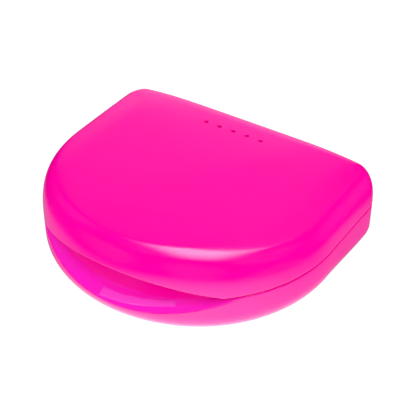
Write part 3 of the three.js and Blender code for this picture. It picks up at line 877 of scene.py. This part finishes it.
def make_camera():
    """Long lens from the front right, looking down on the case."""
    data = bpy.data.cameras.new("camera")
    data.lens = CAMERA_LENS
    camera = bpy.data.objects.new("camera", data)
    bpy.context.scene.collection.objects.link(camera)
    back = TOWARD * math.cos(CAMERA_ELEVATION) + Vector((0, 0, math.sin(CAMERA_ELEVATION)))
    aim = (Vector(CAMERA_AIM) + Vector((0, FRONT_Y, 0))) * MM
    camera.location = aim + back * CAMERA_DISTANCE
    camera.rotation_euler = (-back).to_track_quat("-Z", "Y").to_euler()
    bpy.context.scene.camera = camera


def make_world():
    """White surroundings for the camera to see. The light comes from the lamps."""
    world = bpy.data.worlds.new("studio")
    bpy.context.scene.world = world
    world.use_nodes = True
    background = world.node_tree.nodes["Background"]
    background.inputs["Color"].default_value = (1, 1, 1, 1)
    background.inputs["Strength"].default_value = WHITE
    world.cycles_visibility.glossy = False
    world.cycles_visibility.diffuse = False


def make_fill(radiance=1.15):
    """Even soft fill: twelve broad lamps, one for each corner of an icosahedron."""
    golden = (1 + math.sqrt(5)) / 2
    corners = []
    for a in (-1, 1):
        for b in (-golden, golden):
            corners += [(0, a, b), (a, b, 0), (b, 0, a)]
    for index, corner in enumerate(corners):
        data = bpy.data.lights.new(f"fill_{index}", "SUN")
        data.angle = math.radians(45)
        data.energy = radiance * math.pi / 3
        lamp = bpy.data.objects.new(f"fill_{index}", data)
        bpy.context.scene.collection.objects.link(lamp)
        lamp.rotation_euler = Vector(corner).to_track_quat("Z", "Y").to_euler()
        lamp.visible_glossy = False


def stage_sheet(name, points, faces):
    """A sheet that isn't part of the object, with its X to the camera's right and -Y towards it."""
    mesh = bpy.data.meshes.new(name)
    mesh.from_pydata([tuple(p) for p in points], [], faces)
    sheet = bpy.data.objects.new(name, mesh)
    bpy.context.scene.collection.objects.link(sheet)
    sheet.rotation_euler = (0, 0, CAMERA_AZIMUTH)
    sheet.visible_diffuse = False
    sheet.visible_shadow = False
    material, tree, shader = new_material(name, Base_Color=(0, 0, 0, 1), Specular_IOR_Level=0.0)
    shader.inputs["Emission Color"].default_value = (1, 1, 1, 1)
    mesh.materials.append(material)
    return sheet, tree, shader


def fade(tree, value, start, stop, low=0.0, high=1.0):
    """Smooth change from low at start to high at stop."""
    node = tree.nodes.new("ShaderNodeMapRange")
    node.interpolation_type = "SMOOTHSTEP"
    limits = {"From Min": start, "From Max": stop, "To Min": low, "To Max": high}
    for socket, number in limits.items():
        node.inputs[socket].default_value = number
    tree.links.new(value, node.inputs["Value"])
    return node.outputs["Result"]


def window(tree, value, low, high):
    """Rises smoothly between the two values of low, and falls between the two of high."""
    return maths(tree, "MULTIPLY", fade(tree, value, *low), fade(tree, value, *high, 1.0, 0.0))


def sheet_axes(tree):
    """The sheet's own coordinates, by axis."""
    coords = tree.nodes.new("ShaderNodeTexCoord")
    split = tree.nodes.new("ShaderNodeSeparateXYZ")
    tree.links.new(coords.outputs["Object"], split.inputs["Vector"])
    return split.outputs


def distance_from(tree, x, y):
    """Distance in the sheet's plane from the point x, y."""
    coords = tree.nodes.new("ShaderNodeTexCoord")
    length = tree.nodes.new("ShaderNodeVectorMath")
    length.operation = "DISTANCE"
    length.inputs[1].default_value = (x, y, 0)
    tree.links.new(coords.outputs["Object"], length.inputs[0])
    return length.outputs["Value"]


def make_softbox(radiance=8.0):
    """Softbox a metre over the case. It shows as the highlight along the front of the lid."""
    left, right, near, far, height = -0.45, 0.68, -1.27, 0.8, 1.0
    corners = [(left, near, height), (right, near, height), (right, far, height), (left, far, height)]
    sheet, tree, shader = stage_sheet("softbox", corners, [(0, 3, 2, 1)])
    axes = sheet_axes(tree)
    across = window(tree, axes["X"], (-0.43, 0.03), (0.2, 0.66))
    off_middle = maths(tree, "ABSOLUTE", maths(tree, "SUBTRACT", axes["X"], 0.1))
    slanted = maths(tree, "MULTIPLY_ADD", off_middle, 0.8, axes["Y"])
    along = maths(tree, "MULTIPLY", fade(tree, axes["Y"], -1.25, 0.0), fade(tree, slanted, 0.8, 0.36))
    glow = maths(tree, "MULTIPLY", maths(tree, "MULTIPLY", across, along), radiance)
    tree.links.new(glow, shader.inputs["Emission Strength"])
    sheet.visible_camera = False


def make_back_panel(height=1.1):
    """Curved panel a metre behind the case, with a glow that fades upwards, to shade the top."""
    points = []
    for a in np.radians(np.linspace(-32, 28, 31)):
        points += [(math.sin(a), math.cos(a), 0), (math.sin(a), math.cos(a), height)]
    faces = [(i, i + 2, i + 3, i + 1) for i in range(0, len(points) - 2, 2)]
    sheet, tree, shader = stage_sheet("back_panel", points, faces)
    axes = sheet_axes(tree)
    across = window(tree, axes["X"], (-0.45, 0.0), (0.28, 0.46))
    ramp = tree.nodes.new("ShaderNodeValToRGB")
    share = tree.nodes.new("ShaderNodeMapRange")
    share.inputs["From Max"].default_value = height
    tree.links.new(axes["Z"], share.inputs["Value"])
    tree.links.new(share.outputs["Result"], ramp.inputs["Fac"])
    glow = ((0.0, 0.75), (0.33, 0.75), (0.37, 0.3), (0.42, 0.235),
            (0.67, 0.18), (0.76, 0.145), (0.9, 0.06), (0.97, 0))
    elements = ramp.color_ramp.elements
    elements.remove(elements[1])
    for index, (position, value) in enumerate(glow):
        element = elements[0] if index == 0 else elements.new(position)
        element.position = position
        element.color = (value, value, value, 1)
    strength = maths(tree, "MULTIPLY", across, ramp.outputs["Color"])
    tree.links.new(strength, shader.inputs["Emission Strength"])
    sheet.visible_camera = False


def disc(radius, z):
    """Points and the one face of a flat disc."""
    angles = np.linspace(0, 2 * math.pi, 65)[:-1]
    return [(radius * math.cos(a), radius * math.sin(a), z) for a in angles], [tuple(range(64))]


def make_floor():
    """White floor for the camera, and the pool of light in front of the case that it reflects."""
    floor, _, shader = stage_sheet("floor", *disc(1.5, 0.0))
    shader.inputs["Emission Strength"].default_value = WHITE
    floor.visible_glossy = False

    sheet, tree, shader = stage_sheet("floor_pool", *disc(0.12, -0.0002))
    pool = fade(tree, distance_from(tree, 0.0, -0.04), 0.0, 0.058, 1.9, 0.0)
    spill = fade(tree, distance_from(tree, 0.0, 0.0), 0.058, 0.08, 0.28, 0.0)
    tree.links.new(maths(tree, "ADD", pool, spill), shader.inputs["Emission Strength"])
    sheet.visible_camera = False


# ---- Assembly --------------------------------------------------------------------------------

def finish_piece(piece, material, body, node, sharp=35):
    """Gives a piece its material, its body and the CAD node it stands for."""
    smooth(piece, sharp)
    piece.data.materials.clear()
    piece.data.materials.append(material)
    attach(piece, body)
    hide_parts(node)


plastic = case_plastic()
finish_piece(make_base(), plastic, "base", "base_shell")
finish_piece(make_lid(), plastic, "lid", "lid_shell")
finish_piece(make_pin(), pin_steel(), "base", "hinge_pin")
outer_layer = make_trough("mouthguard_shell", shell_profile, shell_relief, SHELL_HEEL_RADIUS)
finish_piece(outer_layer, guard_rubber(), "guard", "guard_shell", 60)
inner_layer = make_trough("mouthguard_liner", liner_profile, liner_relief, LINER_HEEL_RADIUS)
finish_piece(inner_layer, liner_gel(), "guard", "guard_liner", 60)

make_camera()
make_world()
make_fill()
make_floor()
make_softbox()
make_back_panel()
bpy.context.scene.view_settings.view_transform = "Standard"
